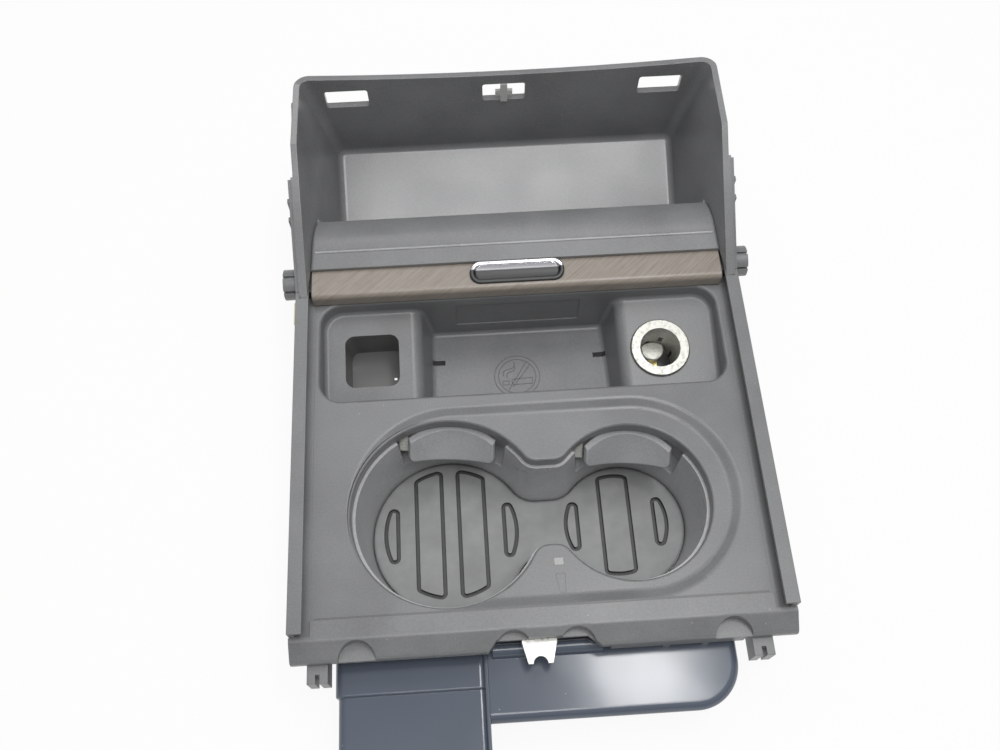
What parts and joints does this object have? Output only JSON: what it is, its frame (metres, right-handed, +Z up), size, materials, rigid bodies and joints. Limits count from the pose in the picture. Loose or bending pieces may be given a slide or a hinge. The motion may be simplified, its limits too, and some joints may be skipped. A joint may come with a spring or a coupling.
{
  "type": "car cup holder console insert",
  "caption": "Centre-console insert with sprung cup holders, a power socket recess, a sliding roller lid, a storage tray and air ducts below.",
  "frame": {"origin": "underside of the cup liner, midway across, on the line through both cup centres", "axes": "+X to the right, +Y towards the storage tray, +Z up"},
  "size_m": [0.242, 0.3604, 0.1081],
  "materials": {
    "charcoal_plastic": "satin moulded",
    "black_plastic": "satin moulded",
    "mat_rubber": "matt",
    "wood_veneer": "satin lacquer",
    "curtain_slats": "satin",
    "chrome": "polished",
    "spring_steel": "bright",
    "plated_steel": "zinc plated",
    "contact_brass": "bright",
    "light_guide": "clear",
    "grey_clip": "satin",
    "cream_foam": "matt",
    "duct_plastic": "glossy blow moulded"
  },
  "bodies": {
    "housing": {"cup_panel": "charcoal_plastic", "left_rail": "charcoal_plastic", "right_rail": "charcoal_plastic", "front_bar": "charcoal_plastic", "storage_tray": "charcoal_plastic", "sill_cover": "charcoal_plastic", "left_peg": "charcoal_plastic", "right_peg": "charcoal_plastic", "cup_liner": "black_plastic", "curtain_guide": "black_plastic", "socket_insulator": "black_plastic", "cup_mat": "mat_rubber", "lid_curtain": "curtain_slats", "left_grip_spring": "spring_steel", "right_grip_spring": "spring_steel", "left_grip_pin": "spring_steel", "right_grip_pin": "spring_steel", "liner_screws": "spring_steel", "latch_clip": "spring_steel", "socket_shell": "plated_steel", "socket_contact": "contact_brass", "light_window": "light_guide", "slot_clip": "grey_clip", "rail_pad": "cream_foam", "duct_body": "duct_plastic", "duct_neck": "duct_plastic"},
    "lid": {"lid_board": "wood_veneer", "lid_carrier": "black_plastic", "lid_pull": "chrome", "pull_cup": "black_plastic", "left_shoe": "black_plastic", "right_shoe": "black_plastic"},
    "left_grip": {"left_grip": "charcoal_plastic"},
    "right_grip": {"right_grip": "charcoal_plastic"}
  },
  "joints": [
    {"name": "lid_slide", "type": "slide", "parent": "housing", "child": "lid", "axis": [0, -1, 0], "range_m": [0, 0.1619], "deforming": ["lid_curtain"]},
    {"name": "left_grip_push", "type": "hinge", "parent": "housing", "child": "left_grip", "pos_m": [-0.03739, 0.04702, 0.0378], "axis": [0.9962, -0.0872, 0], "range_deg": [0, 48], "stiffness_Nm_per_rad": 0.06, "springref_deg": -5.73},
    {"name": "right_grip_push", "type": "hinge", "parent": "housing", "child": "right_grip", "pos_m": [0.04996, 0.03955, 0.0378], "axis": [0.9962, -0.0872, 0], "range_deg": [0, 48], "stiffness_Nm_per_rad": 0.06, "springref_deg": -5.73}
  ]
}
